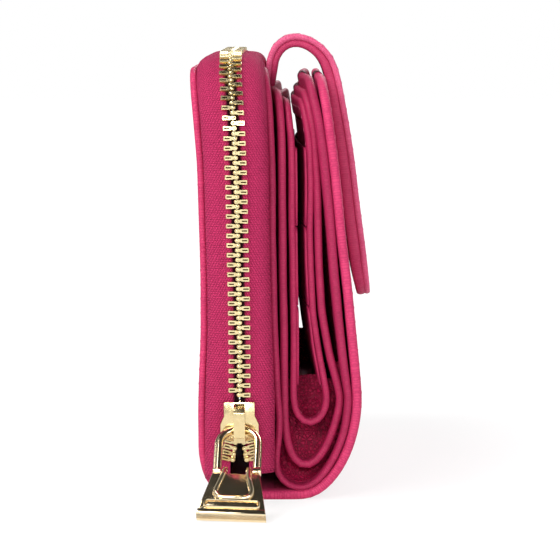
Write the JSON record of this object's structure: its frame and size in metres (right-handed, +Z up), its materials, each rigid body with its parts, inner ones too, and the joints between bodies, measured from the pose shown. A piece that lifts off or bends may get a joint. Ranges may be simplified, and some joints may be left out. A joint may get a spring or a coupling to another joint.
{
  "type": "bifold wallet",
  "caption": "Compact leather bifold wallet with a zip-around coin case, nested card and note leaves and a snap closure tab, standing on its spine.",
  "frame": {"origin": "on the spine's flat underside, half way along the spine", "axes": "+X across the thickness from the coin case to the card leaves, +Y along the spine away from the zip slider, +Z up to the open edges"},
  "size_m": [0.0405, 0.1445, 0.1018],
  "materials": {
    "cover_leather": "smooth semi-gloss, fine grain",
    "lining_leather": "satin, fine pebble",
    "panel_leather": "satin",
    "zip_tape": "woven twill",
    "zip_metal": "pale gold, brushed",
    "gold_metal": "pale gold, polished",
    "stiffener": "bonded leather board"
  },
  "bodies": {
    "coin_half": {"spine_cover": "cover_leather", "coin_inner_cover": "cover_leather", "coin_inner_lining": "lining_leather", "inner_shell_fold": "lining_leather", "note_divider_left": "panel_leather", "note_divider_fold": "panel_leather", "card_panel_left": "panel_leather", "card_panel_fold": "panel_leather", "card_slot_left_1": "panel_leather", "card_slot_left_2": "panel_leather", "card_slot_left_3": "panel_leather", "zip_tape_right": "zip_tape", "zip_teeth_right": "zip_metal", "zip_top_stop_right": "zip_metal", "zip_bottom_stop": "zip_metal", "tab_root": "cover_leather"},
    "coin_cover": {"left_cover": "cover_leather", "left_cover_lining": "lining_leather", "zip_tape_left": "zip_tape", "zip_teeth_left": "zip_metal", "zip_top_stop_left": "zip_metal"},
    "card_half": {"right_cover": "cover_leather", "right_inner_cover": "lining_leather", "note_divider_right": "panel_leather", "card_panel_right": "panel_leather", "card_slot_right_1": "panel_leather", "card_slot_right_2": "panel_leather", "card_slot_right_3": "panel_leather", "snap_stud": "gold_metal"},
    "closure_tab": {"tab_leather": "cover_leather", "tab_stiffener": "stiffener", "tab_lining": "lining_leather", "snap_socket": "gold_metal"},
    "slider": {"slider_body": "gold_metal", "slider_crown": "gold_metal"},
    "pull_bail": {"pull_bail": "gold_metal"},
    "pull_tag": {"pull_tag": "gold_metal"}
  },
  "joints": [
    {"name": "wallet_fold", "type": "hinge", "parent": "coin_half", "child": "card_half", "pos_m": [0.0089, 0, 0.0155], "axis": [0, 1, 0], "range_deg": [0, 180], "deforming": ["spine_cover", "inner_shell_fold", "note_divider_fold", "card_panel_fold", "tab_leather", "tab_stiffener", "tab_lining", "snap_socket"]},
    {"name": "coin_case_opening", "type": "hinge", "parent": "coin_half", "child": "coin_cover", "pos_m": [-0.0145, 0, 0.009], "axis": [0, -1, 0], "range_deg": [0, 45]},
    {"name": "tab_lift", "type": "hinge", "parent": "coin_half", "child": "closure_tab", "pos_m": [0.0056, 0, 0.0947], "axis": [0, -1, 0], "range_deg": [0, 140]},
    {"name": "zip_slide", "type": "slide", "parent": "coin_half", "child": "slider", "axis": [-0.0171, 0, 0.9999], "range_m": [0, 0.058], "deforming": ["zip_teeth_left", "zip_teeth_right"]},
    {"name": "pull_swing", "type": "hinge", "parent": "slider", "child": "pull_bail", "pos_m": [-0.00648, -0.0634, 0.01679], "axis": [0.9985, -0.0523, 0.017], "range_deg": [-104, 41]},
    {"name": "tag_swing", "type": "hinge", "parent": "pull_bail", "child": "pull_tag", "pos_m": [-0.00686, -0.07324, 0.00908], "axis": [0.9985, -0.0523, 0.017], "range_deg": [-35, 25]}
  ]
}
